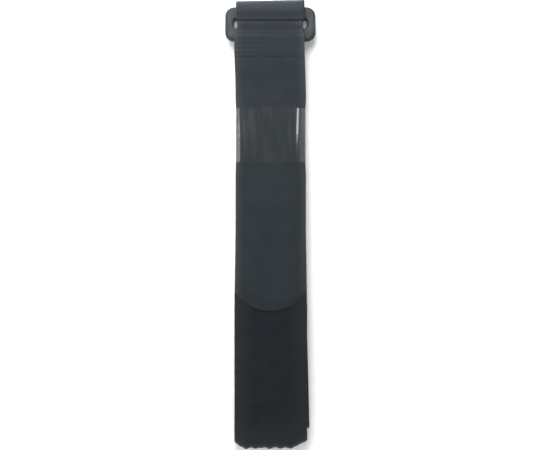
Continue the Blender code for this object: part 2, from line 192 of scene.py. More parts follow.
# The tufts of pile that stand out along the outer fold: place across, height
TUFTS = [(-10.9, 0.30), (-8.6, 0.62), (-5.3, 0.50), (-3.6, 0.28), (-0.4, 0.60), (3.5, 0.50),
         (6.9, 0.46), (9.2, 0.24), (11.2, 0.16)]
TUFT_SPREAD = 1.05
TUFT_SINK = 0.04 * MM

# The pile: clumps of loops with a finer grain on them, and how far relief moves a selvedge
CLUMP_SIZE = 1.3 * MM
CLUMP_HEIGHT = 0.05 * MM
GRAIN_SIZE = 0.46 * MM
GRAIN_HEIGHT = 0.11 * MM
GRAIN_LAYER = 5 * MM
SIDE_RELIEF = 0.08 * MM
BARE_TAIL = 6 * MM
COVERED_PILE = 0.35
WORN_PILE = 0.6

# Where the pile is worn (real wear) and lit by painted light, with a painted highlight on the fixed
# loop's
# top edge, where painted light lightens it at the outer fold, and where painted shade darkens the
# lap:
# shares, and distances from the ring's centre or from the fold's end
WORN_AND_LIT_START = 22 * MM
WORN_AND_LIT_FULL = 6 * MM
WORN_LOOP_SHARE_BELOW_HIGHLIGHT = 0.72
TOP_HIGHLIGHT_START = 4.0 * MM
TOP_HIGHLIGHT_FULL = 7.0 * MM
FOLD_LIGHT_SHARE = 0.42
FOLD_LIGHT_START = 1 * MM
FOLD_LIGHT_END = 12 * MM
LAP_SHADE_START = 6.5 * MM
LAP_SHADE_FULL = 0.4 * MM

# Creases in the film: place across, width, height, and the shares of the sleeve's length
# from its foot at which they start and stand at full height
FILM_CREASES = [(10.2, 1.05, 0.47, -0.5, 0.8), (-7.9, 0.8, 0.03, -0.3, 0.4),
                (5.8, 0.9, 0.025, -0.3, 0.3), (1.5, 1.6, 0.02, 0.0, 0.5)]
CREASE_SWAY = 0.25
CREASE_TURN = 3

# The flank of the tallest crease, which mirrors the lamp: its place, half width and fade, and
# the distances from the sleeve's foot and head between which a painted boost of its shine grows
SHARP_CREASE_X = 9.6 * MM
CREASE_FLANK = 0.3 * MM
CREASE_FADE = 0.9 * MM
SHINE_FOOT = 4 * MM
SHINE_HEAD = 1 * MM

WORLD_STRENGTH = 0.45

# Mesh fineness: arcs, the runs of the loop tape, the hook tape, and the outline across
ARC_STEP = math.radians(5)
LEAST_STEP = 0.1 * MM
FINE_STEP = 0.42 * MM
COVERED_STEP = 2.5 * MM
TIP_MARGIN = 4 * MM
LOOP_STEPS = {"tail": 1.0 * MM, "wrap": 0.3 * MM, "back": 0.62 * MM, "inner": 3.0 * MM,
              "slot": 0.3 * MM, "lap": 0.3 * MM}
HOOK_STEP = 0.6 * MM
HOOK_FINE_STEP = 0.3 * MM
HOOK_FINE_TIP = 1 * MM
HOOK_FINE_LAP = 3 * MM
LAP_EDGE_STEP = 0.07 * MM
LAP_EDGE_REACH = 0.5 * MM
TOP_COLUMNS = 54
CORNER_STEPS = 4
LOOP_RADII = (0.42 * MM, 0.3 * MM)
HOOK_RADII = (0.15 * MM, 0.42 * MM)
FILM_ROWS = 40
FILM_CORNER_STEPS = 8
FILM_FLAT_STEPS = (16, 120, 16, 24)
RING_CORNER_STEPS = 12
RING_SIDE_STEPS = (6, 26)
RING_RIM_STEPS = 8
RING_FLAT_STEPS = 4
RING_WAVINESS = 0.03 * MM
RING_WAVE_SIZE = 3.5 * MM

# The nap: loops of filament, their length and height in mm, and how many stand on a face
FIBRE_RADIUS = 0.024 * MM
FIBRE_SIDES = 3
FIBRE_STEPS = 4
FIBRE_LENGTHS = (0.30, 0.75)
FIBRE_HEIGHTS = (0.08, 0.24)
FIBRE_LEAN = 0.9
FIBRE_ROOT = 0.05 * MM
FRONT_NAP = 2.6
WRAP_NAP = 2.4
BACK_NAP = 2.4
NAP_TIP_MARGIN = 2 * MM
NAP_RING_MARGIN = 2 * MM
# No more than about 7500 loops in a nap, which keeps it under 200,000 triangles
NAP_MOST_POINTS = 7500 * (FIBRE_STEPS + 1) * FIBRE_SIDES

# The photo's width in pixels, the size of one, and the camera's place and distance
PHOTO_WIDTH = 540
PIXEL = 0.351 * MM
CAMERA_PLACE = (-0.13 * MM, -0.29 * MM)
CAMERA_PLANE = 4.0 * MM
CAMERA_DISTANCE = 800 * MM
SENSOR_WIDTH = 36.0

# Soft lamps: name, place, target, size across, power in watts
LAMPS = [
    ("key_softbox", (-0.02, 0.15, 0.18), (0.0, 0.03, 0.0), 0.12, 0.6),
    ("back_softbox", (-0.05, 0.55, 0.10), (0.0, 0.05, 0.0), 0.40, 3.6),
    ("left_softbox", (-0.55, 0.0, 0.25), (0.0, 0.0, 0.0), 0.60, 1.2),
    ("left_top_softbox", (-0.28, 0.0, 0.42), (0.0, 0.0, 0.0), 0.15, 0.31),
    ("right_softbox", (0.40, 0.05, 0.40), (0.0, 0.0, 0.0), 0.60, 0.5),
    ("front_softbox", (0.0, -0.50, 0.08), (0.0, -0.05, 0.0), 0.40, 2.3),
]
FLOOR_HALF = 1.5

# Colours, linear: dark and light of each surface, and painted light on it: sheen on the edges (on
# the weave also the selvedge's own tone), light on the worn fixed loop and the outer fold, shine on
# the dots, shade on the lap
PILE_DARK = (0.0066, 0.0079, 0.0104)
PILE_LIGHT = (0.0130, 0.0152, 0.0188)
PILE_EDGE_SHEEN = (0.024, 0.027, 0.030, 1.0)
PILE_WORN_AND_LIT = (0.0216, 0.0259, 0.0306, 1.0)
PILE_SHEEN = (0.46, 0.51, 0.55, 1.0)
LOOP_BACK_DARK = (0.0108, 0.0143, 0.0173)
LOOP_BACK_LIGHT = (0.0182, 0.0230, 0.0269)
HOOK_BACK_DARK = (0.0112, 0.0148, 0.0180)
HOOK_BACK_LIGHT = (0.0188, 0.0238, 0.0279)
WEAVE_EDGE_AND_SHEEN = (0.040, 0.045, 0.049, 1.0)
WEAVE_PAINTED_SHADE = (0.005, 0.007, 0.009, 1.0)
WEAVE_PIT_SHINE = (0.034, 0.039, 0.044, 1.0)
WEAVE_SHEEN = (0.45, 0.50, 0.54, 1.0)
RING_DARK = (0.012, 0.015, 0.017)
RING_LIGHT = (0.028, 0.032, 0.036)
WARP_PITCH = 0.46 * MM
WEFT_PITCH = 0.62 * MM

Bend = namedtuple("Bend", "run centre radius turn")
Station = namedtuple("Station", "run point heading")


def smooth(value, low, high):
    """Ease from 0 at low to 1 at high."""
    share = min(max((value - low) / (high - low), 0.0), 1.0)
    return share * share * (3 - 2 * share)


# A tape's route in the plane of Y and Z, drawn tight over bends like a belt over pulleys

def tangent(first, second):
    across = second.centre - first.centre
    shift = second.turn * second.radius - first.turn * first.radius
    length = math.sqrt(across.length_squared - shift ** 2)
    return math.atan2(across.y, across.x) - math.atan2(shift, length)


def contact(bend, heading):
    left = Vector((-math.sin(heading), math.cos(heading)))
    return bend.centre - left * (bend.turn * bend.radius)


def arc_stations(bend, heading_in, heading_out):
    full_turn = 2 * math.pi
    sweep = (heading_out - heading_in) % full_turn
    if bend.turn < 0:
        sweep -= full_turn
    steps = max(1, math.ceil(abs(sweep) / ARC_STEP))
    headings = [heading_in + sweep * step / steps for step in range(1, steps + 1)]
    return [Station(bend.run, contact(bend, heading), heading) for heading in headings]


def straight_stations(run, start, end, heading, step_at):
    """Stations along the straight, as close together as step_at says for the place."""
    length = (end - start).length
    stations = []
    done = 0.0
    while done < length - 1e-9:
        here = start.lerp(end, done / length)
        done = min(length, done + step_at(run, here.x))
        if length - done < LEAST_STEP:
            done = length
        stations.append(Station(run, start.lerp(end, done / length), heading))
    return stations


def belt(bends, step_at):
    headings = [tangent(first, second) for first, second in zip(bends, bends[1:])]
    stations = [Station(bends[0].run, contact(bends[0], headings[0]), headings[0])]
    for index, heading in enumerate(headings):
        bend = bends[index]
        if index > 0:
            stations += arc_stations(bend, stations[-1].heading, heading)
        start = contact(bend, heading)
        end = contact(bends[index + 1], heading)
        stations += straight_stations(bend.run, start, end, heading, step_at)
    return stations


def ring_point(along):
    """A point in the ring's middle plane, by its distance from the ring's centre."""
    return Vector((RING_Y + along * math.cos(RING_TILT), RING_Z - along * math.sin(RING_TILT)))


BAR_GAP_RADIUS = BAR_RADIUS + CLEARANCE
WRAP_RADIUS = BAR_GAP_RADIUS + CRUSHED_THICK
SETTLE = Bend("front", Vector((RING_BOTTOM_Y - SETTLE_BELOW_RING,
                               FRONT_Z + CLEARANCE + SETTLE_RADIUS)), SETTLE_RADIUS, -1)
OVER_SLOT_EDGE = Bend("slot", ring_point(-INNER_BEND), BAR_GAP_RADIUS, 1)
OVER_BAR_EDGE = Bend("lap", ring_point(-OUTER_BEND), BAR_GAP_RADIUS, 1)


def lap_end_bend():
    heading = tangent(OVER_BAR_EDGE, SETTLE)
    start = contact(OVER_BAR_EDGE, heading)
    length = (LAP_END_Y - start.x) / math.cos(heading)
    end = start + Vector((math.cos(heading), math.sin(heading))) * length
    return Bend("lap", end, 0.0, 0)


def loop_bends():
    slot_edge = ring_point(-INNER_BEND)
    tail_end = Vector((slot_edge.x - TAIL_LENGTH, TAIL_PILE_Z))
    tail_radius = WRAP_RADIUS + CLEARANCE
    return [
        Bend("tail", tail_end, 0.0, 0),
        Bend("tail", slot_edge, tail_radius, 1),
        Bend("wrap", ring_point(INNER_BEND), WRAP_RADIUS, -1),
        Bend("back", ring_point(OUTER_BEND), WRAP_RADIUS, -1),
        Bend("front", Vector((FOLD_END_Y + FOLD_RADIUS, FOLD_RADIUS)), FOLD_RADIUS, -1),
        Bend("inner", Vector((FAR_FOLD_Y - FAR_FOLD_RADIUS, FAR_FOLD_Z)), FAR_FOLD_RADIUS, -1),
        Bend("inner", Vector((INNER_FOLD_Y + LOOP_THICK + CLEARANCE / 2, FOLD_RADIUS)),
             CLEARANCE / 2, 1),
        OVER_SLOT_EDGE,
        OVER_BAR_EDGE,
        lap_end_bend(),
    ]


def hook_bends():
    tip = Vector((TIP_Y, FRONT_Z + CLEARANCE))
    return [OVER_SLOT_EDGE, OVER_BAR_EDGE, SETTLE, Bend("tip", tip, 0.0, 0)]


def loop_step(run, y):
    """Fine where the pile shows in front, coarser on the back and between the layers."""
    if run == "front":
        return FINE_STEP if y < TIP_Y + TIP_MARGIN else COVERED_STEP
    return LOOP_STEPS[run]


def hook_step(_, y):
    """Fine at the tip and near the lap, finest where the lap ends."""
    if abs(y - LAP_END_Y) < LAP_EDGE_REACH:
        return LAP_EDGE_STEP
    in_tip = y < TIP_Y + TIP_ZONE + HOOK_FINE_TIP
    near_lap = y > LAP_END_Y - HOOK_FINE_LAP
    return HOOK_FINE_STEP if in_tip or near_lap else HOOK_STEP


# The headings of the wall that both tapes share in the slot, and of the tapes over the bars
WALL_HEADING, WRAP_HEADING, LAP_HEADING = [tangent(*loop_bends()[index:index + 2])
                                           for index in (1, 2, 7)]


# How each station's width, place and thickness follow the bundle

def band_grip(y):
    """1 under the band, fading to 0 on both sides of it."""
    above = 1 - smooth(y, BAND_HIGH_Y, BAND_HIGH_Y + GRIP_FADE)
    below = smooth(y, BAND_LOW_Y - GRIP_FADE, BAND_LOW_Y)
    return above * below


def centre_x(y):
    lap = smooth(y, BAND_HIGH_Y + GRIP_FADE, RING_BOTTOM_Y)
    wrap = smooth(y, RING_BOTTOM_Y, RING_Y)
    return BODY_SHIFT + LAP_SHIFT * lap + WRAP_SHIFT * wrap


def tape_width(y, free_width):
    in_ring = smooth(y, RING_BOTTOM_Y, RING_Y - SLOT_HEIGHT / 2)
    loose = free_width + (SLOT_TAPE_WIDTH - free_width) * in_ring
    return loose + (WAIST_WIDTH - loose) * band_grip(y) - pinch_at(y)


def pinch_at(y):
    """How much the slot draws the tape's edges in."""
    away = (y - RING_Y + PINCH_BELOW) / PINCH_LENGTH
    return SLOT_PINCH * math.exp(-away * away)


def loop_width(y):
    drawn = DRAWN_IN * smooth(y, TIP_Y, TIP_Y + DRAW_LENGTH)
    return tape_width(y, LOOP_WIDTH - drawn)


def squeeze(y, across):
    """Share of its height that a point keeps: the bundle is crowned, more so in the band."""
    off_ring = 1 - smooth(y, RING_BOTTOM_Y - CROWN_FULL, RING_BOTTOM_Y - CROWN_START)
    grip = band_grip(y)
    drop = EDGE_DROP * abs(across) ** EDGE_POWER * grip
    drop += CROWN * abs(across) ** CROWN_POWER * off_ring * (1 - grip)
    return 1 - drop / STACK_TOP


def tuft_height(x):
    tallest = 0.0
    for place, height in TUFTS:
        away = (x / MM - place) / TUFT_SPREAD
        tallest = max(tallest, height * math.exp(-away * away))
    return tallest * MM


def fold_shift(y, across):
    """The outer fold's ends draw back at its corners, and tufts of pile stand out of it."""
    recess = FOLD_RECESS_LEFT if across < 0 else FOLD_RECESS_RIGHT
    corner_start = FOLD_CORNER_LEFT if across < 0 else FOLD_CORNER_RIGHT
    corner = max(0.0, (abs(across) - corner_start) / (1 - corner_start)) ** FOLD_CORNER_POWER
    near_fold = 1 - smooth(y, FOLD_END_Y + FOLD_RADIUS, FOLD_END_Y + FOLD_ZONE)
    at_edge = 1 - smooth(y, FOLD_END_Y, FOLD_END_Y + FOLD_RADIUS)
    tufts = tuft_height(across * LOOP_WIDTH / 2) - TUFT_SINK
    return recess * corner * near_fold - tufts * at_edge


def wrap_shift(y, x):
    """The fixed loop lies slack on the ring's top edge, a little further on the right."""
    reach = smooth(y, ring_point(OUTER_BEND).x - BAR_RADIUS, RING_Y + OUTER_BEND + WRAP_RADIUS)
    return (WRAP_SLACK + WRAP_SLANT * x) * reach


def wrap_puff(y, z):
    """The slack of the fixed loop stands up over the ring's top bar."""
    on_top = smooth(z, TOP_BAR_Z, TOP_BAR_Z + PUFF_DEPTH)
    from_slot = smooth(y, RING_Y + PUFF_RISE_START, RING_Y + PUFF_RISE_END)
    to_edge = 1 - smooth(y, RING_Y + PUFF_FALL_START, RING_Y + PUFF_FALL_END)
    return WRAP_PUFF * on_top * from_slot * to_edge


def lap_share(run, heading):
    """0 in the slot, 1 where the loop tape's end lies on the hook tape."""
    return smooth(heading, *LAP_PRESS_HEADINGS) if run in ("slot", "lap") else 0.0


def loop_thickness(station):
    run, point, heading = station
    if run == "tail":
        loose = smooth(heading, 0, TAIL_PRESS_HEADING)
        return TAIL_WELDED + (CRUSHED_THICK - TAIL_WELDED) * loose
    slot_edge_y = ring_point(-INNER_BEND).x
    share = min(1.0, max(0.0, (slot_edge_y - point.x) / (slot_edge_y - FOLD_END_Y)))
    thick = CRUSHED_THICK + (LOOP_THICK - CRUSHED_THICK) * share
    past_end = smooth(point.x, LAP_END_Y, LAP_END_Y + LAP_END_TAPER)
    pressed = LAP_END_THICK + (LAP_WELDED - LAP_END_THICK) * past_end
    return thick + (pressed - thick) * lap_share(run, heading)


def place_loop(station, across):
    """Where a point of the pile side lies, and how thick the tape is there."""
    run, point, heading = station
    lift = (HOOK_WELDED + WELD_GAP) * lap_share(run, heading)
    y = point.x + math.sin(heading) * lift
    z = point.y - math.cos(heading) * lift
    x = centre_x(y) + across * loop_width(y) / 2
    kept = squeeze(y, across)
    z *= kept
    if run == "back":
        z += (FILM_THICK + FILM_GAP) * band_grip(y)
    if run == "inner":
        from_fold = max(0.0, y - INNER_FOLD_Y) / INNER_SHIFT_LENGTH
        x += INNER_SHIFT * max(0.0, 1 - from_fold) ** INNER_SHIFT_POWER
    if run in ("back", "front"):
        y += fold_shift(y, across)
    if run in ("wrap", "back"):
        z += wrap_puff(y, z)
        y += wrap_shift(y, x)
    return Vector((x, y, z)), loop_thickness(station) * kept


def place_hook(station, across):
    """Where a point of the hook side lies, and how thick the tape is there."""
    y, z = station.point
    x = centre_x(y) + across * tape_width(y, HOOK_WIDTH) / 2
    kept = squeeze(y, across)
    welded = smooth(y, LAP_END_Y - WELD_STEP_START, LAP_END_Y - WELD_STEP_END)
    thick = HOOK_THICK + (HOOK_WELDED - HOOK_THICK) * welded
    tip_start = TIP_Y + TIP_ZONE
    settled = TIP_SETTLE * smooth(RING_Y - y, BAND_TOP_BELOW_RING + BAND_LENGTH, HOOK_REACH)
    if y < tip_start:
        edge = TIP_Y + TIP_RADIUS - math.sqrt(TIP_RADIUS ** 2 - (across * HOOK_WIDTH / 2) ** 2)
        rim = 1 - smooth(tip_start - y, 0.0, TIP_ZONE - TIP_LAST)
        least = TIP_RIM * (1 - TIP_RIM_SIDES * smooth(abs(across), TIP_SIDE_START, TIP_SIDE_END))
        thick *= least + (1 - least) * math.sqrt(1 - (1 - rim) ** TIP_ROUNDING)
        y = tip_start + (edge - tip_start) * (tip_start - y) / TIP_ZONE
    return Vector((x, y, (z - settled) * kept)), thick * kept


# Relief: pile, weave and welded dots, as heights above the plain surface

def noise_at(x, y, z, size):
    return noise.noise(Vector((x / size, y / size, z / size)))


def pile_relief(x, s, amount):
    """Clumps of loops, with a finer grain on them."""
    clumps = noise_at(x, s, 0.0, CLUMP_SIZE) * CLUMP_HEIGHT
    grain = noise_at(x, s, GRAIN_LAYER, GRAIN_SIZE) * GRAIN_HEIGHT
    return (clumps + grain) * amount


def weld_pit(across, y, first_y):
    """Depth of the square pits that the welding horn presses, fainter on the right."""
    column = (across + 1) / 2 * WELD_COLUMNS
    row = (first_y - y) / WELD_PITCH
    if not 0 < row < WELD_ROWS or not WELD_SIDE < column < WELD_COLUMNS - WELD_SIDE:
        return 0.0
    side = abs((column % 1) - 0.5) * 2
    end = abs((row % 1) - 0.5) * 2
    pressed = 1 - PIT_FADE * smooth(across, *PIT_FADE_ACROSS)
    pressed *= 1 - smooth(y, RING_Y - PIT_END_START, RING_Y - PIT_END)
    return (1 - smooth(side, PIT_FLOOR, PIT_RIM)) * (1 - smooth(end, PIT_FLOOR, PIT_RIM)) * pressed


def corner_fill(heading, first, last):
    """How far the tape swells over the ring's inner edge, so that it turns into the slot late."""
    away = min(abs(heading - first), abs(heading - last))
    if not min(first, last) < heading < max(first, last):
        return 0.0
    square = WRAP_RADIUS * (1 / math.cos(away) - 1)
    return SLOT_SHOULDER * (1 - math.exp(-square / SLOT_SHOULDER))


# Objects

def link_object(name, data, material=None):
    """A new object in the scene, with one material if any is given."""
    item = bpy.data.objects.new(name, data)
    bpy.context.scene.collection.objects.link(item)
    if material is not None:
        data.materials.append(material)
    return item


def closed_object(name, shape, material=None):
    """An object of the shape's faces, all turned outward. The shape is freed."""
    bmesh.ops.recalc_face_normals(shape, faces=shape.faces)
    mesh = bpy.data.meshes.new(name)
    shape.to_mesh(mesh)
    shape.free()
    return link_object(name, mesh, material)


# A tape's mesh: a rounded outline carried along the route

def outline_half():
    """(kind, share) from the left side to the right: a corner, a flat and a corner."""
    left = [("left", step / CORNER_STEPS) for step in range(CORNER_STEPS)]
    flat = [("flat", 2 * column / TOP_COLUMNS - 1) for column in range(TOP_COLUMNS + 1)]
    right = [("right", 1 - step / CORNER_STEPS) for step in reversed(range(CORNER_STEPS))]
    return left + flat + right


def outline_point(kind, share, half, radius):
    """Place across, drop at the rounded corner, and the outward direction (across, up)."""
    if kind == "flat":
        return share * (half - radius), 0.0, (0.0, 1.0)
    side = -1 if kind == "left" else 1
    angle = share * math.pi / 2
    out, up = math.cos(angle), math.sin(angle)
    return side * (half - radius + radius * out), radius * (1 - up), (side * out, up)


def tape_row(station, place, relief, half, radii, run_length):
    """The points of the pile side and of the back side, from left to right."""
    left = Vector((0.0, -math.sin(station.heading), math.cos(station.heading)))
    rows = []
    for facing, radius in zip((1, -1), radii):
        row = []
        for kind, share in outline_half():
            x, drop, outward = outline_point(kind, share, half, radius)
            across = max(-1.0, min(1.0, x / half))
            base, thick = place(station, across)
            depth = drop if facing > 0 else thick - drop
            height, mark = relief(station, facing, across, x, run_length, base)
            point = base - left * depth
            point += left * (outward[1] * facing * height)
            point.x += outward[0] * min(height, SIDE_RELIEF)
            point.z = max(point.z, 0.0)
            row.append((point, x, mark))
        rows.append(row)
    return rows


def lay_tape(name, stations, place, relief, width_at, radii, materials):
    """A closed mesh along the route, with its places on the tape in two UV maps, in metres."""
    shape = bmesh.new()
    tape_map = shape.loops.layers.uv.new("tape")
    edge_map = shape.loops.layers.uv.new("edge")

    def add_face(corners, material_index):
        face = shape.faces.new([corner[0] for corner in corners])
        face.smooth = True
        face.material_index = material_index
        for loop, (_, x, half, s, mark) in zip(face.loops, corners):
            loop[tape_map].uv = (x, s)
            loop[edge_map].uv = (half - abs(x), mark)

    sections = []
    run_length = 0.0
    previous = None
    for station in stations:
        if previous is not None:
            run_length += (station.point - previous.point).length
        previous = station
        half = width_at(station) / 2
        section = []
        for row in tape_row(station, place, relief, half, radii, run_length):
            section.append([(shape.verts.new(point), x, half, run_length, mark)
                            for point, x, mark in row])
        sections.append(section)
    for first, second in zip(sections, sections[1:]):
        for side in (0, 1):
            for index in range(len(first[side]) - 1):
                add_face([first[side][index], first[side][index + 1],
                          second[side][index + 1], second[side][index]], side)
        for end in (0, -1):
            add_face([first[0][end], first[1][end], second[1][end], second[0][end]], 0)
    for pile, back in (sections[0], sections[-1]):
        for index in range(len(pile) - 1):
            add_face([pile[index], pile[index + 1], back[index + 1], back[index]], 1)
    item = closed_object(name, shape)
    for material in materials:
        item.data.materials.append(material)
    return item, run_length


# Materials

def new_material(name):
    material = bpy.data.materials.new(name)
    material.use_nodes = True
    tree = material.node_tree
    return material, tree, tree.nodes["Principled BSDF"]


def add_node(tree, kind, inputs=None, **settings):
    node = tree.nodes.new(kind)
    for key, value in settings.items():
        setattr(node, key, value)
    for key, value in (inputs or {}).items():
        if isinstance(value, bpy.types.NodeSocket):
            tree.links.new(value, node.inputs[key])
        else:
            node.inputs[key].default_value = value
    return node


def math_node(tree, operation, *values):
    inputs = dict(enumerate(values))
    return add_node(tree, "ShaderNodeMath", inputs, operation=operation).outputs[0]


def uv_parts(tree, name):
    """The two values of a UV map: places on the tape, or distance to its edge and the mark."""
    uv = add_node(tree, "ShaderNodeUVMap", uv_map=name).outputs["UV"]
    parts = add_node(tree, "ShaderNodeSeparateXYZ", {"Vector": uv})
    return parts.outputs["X"], parts.outputs["Y"]


def object_place(tree):
    return add_node(tree, "ShaderNodeTexCoord").outputs["Object"]


def noise_node(tree, coordinates, size, detail=2.0, roughness=0.5):
    """Noise from 0 to 1 whose features are about size metres across."""
    made = add_node(tree, "ShaderNodeTexNoise", {"Vector": coordinates, "Scale": 1 / size,
                                                 "Detail": detail, "Roughness": roughness})
    return made.outputs["Fac"]


def ramp(tree, value, low, high, low_colour, high_colour):
    """Colour that goes from low_colour at low to high_colour at high."""
    made = add_node(tree, "ShaderNodeValToRGB", {"Fac": value})
    first, second = made.color_ramp.elements
    first.position, second.position = low, high
    first.color = (*low_colour, 1.0)
    second.color = (*high_colour, 1.0)
    return made.outputs["Color"]


def remap(tree, value, low, high, new_low=0.0, new_high=1.0):
    made = add_node(tree, "ShaderNodeMapRange",
                    {"Value": value, "From Min": low, "From Max": high,
                     "To Min": new_low, "To Max": new_high})
    return made.outputs["Result"]


def blend_colours(tree, share, first, second, blend_type="MIX"):
    """A share of the second colour over the first, by the numbers of the node's sockets."""
    made = add_node(tree, "ShaderNodeMix", {0: share, 6: first, 7: second}, data_type="RGBA",
                    blend_type=blend_type)
    return made.outputs[2]


def bump(tree, height, distance, strength):
    inputs = {"Height": height, "Distance": distance, "Strength": strength}
    return add_node(tree, "ShaderNodeBump", inputs).outputs["Normal"]


def wave(tree, value, pitch, phase=0.0):
    """0 to 1 and back once every pitch metres."""
    angle = math_node(tree, "MULTIPLY_ADD", value, 2 * math.pi / pitch, phase)
    return math_node(tree, "MULTIPLY_ADD", math_node(tree, "SINE", angle), 0.5, 0.5)


def soft_margin(tree, edge, width, most):
    """Eases from most at the selvedge to nothing at width from it."""
    share = remap(tree, edge, 0.0, width, 1.0, 0.0)
    return math_node(tree, "MULTIPLY", math_node(tree, "POWER", share, 2.0), most)


def pile_material():
    """Fuzzy napped loops of fine black nylon."""
    material, tree, shader = new_material("loop_pile")
    edge, worn_and_lit = uv_parts(tree, "edge")
    place = object_place(tree)
    loops = noise_node(tree, place, 0.55 * MM, 3.0, 0.7)
    patches = noise_node(tree, place, 5 * MM, 2.0)
    fibres = noise_node(tree, place, 0.22 * MM, 2.0, 0.6)
    colour = ramp(tree, loops, 0.30, 0.74, PILE_DARK, PILE_LIGHT)
    patchy = ramp(tree, patches, 0.3, 0.7, (0.93, 0.93, 0.93), (1.06, 1.06, 1.06))
    tinted = blend_colours(tree, 1.0, colour, patchy, "MULTIPLY")
    # Painted sheen: the pile is lightened towards its edges, over 8 mm from each, as side light and
    # sheen would light it.
    edge_sheen_margin = soft_margin(tree, edge, 8.0 * MM, 0.55)
    colour = blend_colours(tree, edge_sheen_margin, tinted, PILE_EDGE_SHEEN)
    # Worn pile and painted light: the mark lightens the worn fixed loop, partly real wear and
    # partly painted light, with a painted highlight on its top edge, and lightens the outer fold as
    # painted light.
    colour = blend_colours(tree, worn_and_lit, colour, PILE_WORN_AND_LIT)
    tree.links.new(colour, shader.inputs["Base Color"])
    shader.inputs["Roughness"].default_value = 0.92
    shader.inputs["Specular IOR Level"].default_value = 0.08
    shader.inputs["Sheen Weight"].default_value = 0.5
    shader.inputs["Sheen Roughness"].default_value = 0.38
    shader.inputs["Sheen Tint"].default_value = PILE_SHEEN
    grain = math_node(tree, "MULTIPLY_ADD", fibres, 0.5, loops)
    tree.links.new(bump(tree, grain, 0.28 * MM, 0.8), shader.inputs["Normal"])
    return material


def weave_material(name, dark, light):
    """The smooth woven side of a tape: fine warp ribs crossed by weft threads."""
    material, tree, shader = new_material(name)
    across, along = uv_parts(tree, "tape")
    edge, dot_and_shade = uv_parts(tree, "edge")
    place = object_place(tree)
    warp = wave(tree, across, WARP_PITCH)
    column = math_node(tree, "FLOOR", math_node(tree, "DIVIDE", across, WARP_PITCH))
    stagger = math_node(tree, "MULTIPLY", column, math.pi)
    weft = wave(tree, along, WEFT_PITCH, stagger)
    height = math_node(tree, "MULTIPLY_ADD", weft, 0.6, warp)
    fray = noise_node(tree, place, 0.3 * MM, 2.0, 0.6)
    patches = noise_node(tree, place, 7 * MM, 2.0)
    height = math_node(tree, "MULTIPLY_ADD", fray, 0.8, height)
    mixed = math_node(tree, "MULTIPLY_ADD", patches, 0.55,
                      math_node(tree, "MULTIPLY", height, 0.2))
    colour = ramp(tree, mixed, 0.28, 0.78, dark, light)
    # The edges are lightened over 3.5 mm from each: partly the selvedge's own lighter threads,
    # partly painted sheen.
    edge_sheen_margin = soft_margin(tree, edge, 3.5 * MM, 0.7)
    colour = blend_colours(tree, edge_sheen_margin, colour, WEAVE_EDGE_AND_SHEEN)
    # Painted shade: the lap is darkened where it comes out of the slot, under the fixed loop.
    painted_shade = remap(tree, dot_and_shade, -1.0, 0.0, 0.5, 0.0)
    colour = blend_colours(tree, painted_shade, colour, WEAVE_PAINTED_SHADE)
    # Painted shine: the welded pits are lightened; their lower roughness below is their real gloss.
    pressed = remap(tree, dot_and_shade, 0.2, 1.0, 0.0, 0.22)
    colour = blend_colours(tree, pressed, colour, WEAVE_PIT_SHINE)
    tree.links.new(colour, shader.inputs["Base Color"])
    tree.links.new(remap(tree, dot_and_shade, 0.2, 1.0, 0.72, 0.5), shader.inputs["Roughness"])
    shader.inputs["Specular IOR Level"].default_value = 0.10
    shader.inputs["Sheen Weight"].default_value = 0.08
    shader.inputs["Sheen Roughness"].default_value = 0.5
    shader.inputs["Sheen Tint"].default_value = WEAVE_SHEEN
    tree.links.new(bump(tree, height, 0.08 * MM, 0.7), shader.inputs["Normal"])
    return material


def ring_material():
    """Moulded black nylon with a fine spark texture, speckled in tone, its roughness varied by a
    fine grain.
    """
    material, tree, shader = new_material("moulded_plastic")
    place = object_place(tree)
    grain = noise_node(tree, place, 0.35 * MM, 3.0, 0.65)
    patches = noise_node(tree, place, 4 * MM, 2.0)
    speckle = noise_node(tree, place, 0.9 * MM, 3.0, 0.7)
    mixed = math_node(tree, "MULTIPLY_ADD", speckle, 0.6, patches)
    colour = ramp(tree, mixed, 0.55, 1.05, RING_DARK, RING_LIGHT)
    tree.links.new(colour, shader.inputs["Base Color"])
    rough = remap(tree, grain, 0.3, 0.7, 0.40, 0.66)
    tree.links.new(rough, shader.inputs["Roughness"])
    shader.inputs["Specular IOR Level"].default_value = 0.16
    tree.links.new(bump(tree, grain, 0.06 * MM, 0.6), shader.inputs["Normal"])
    return material


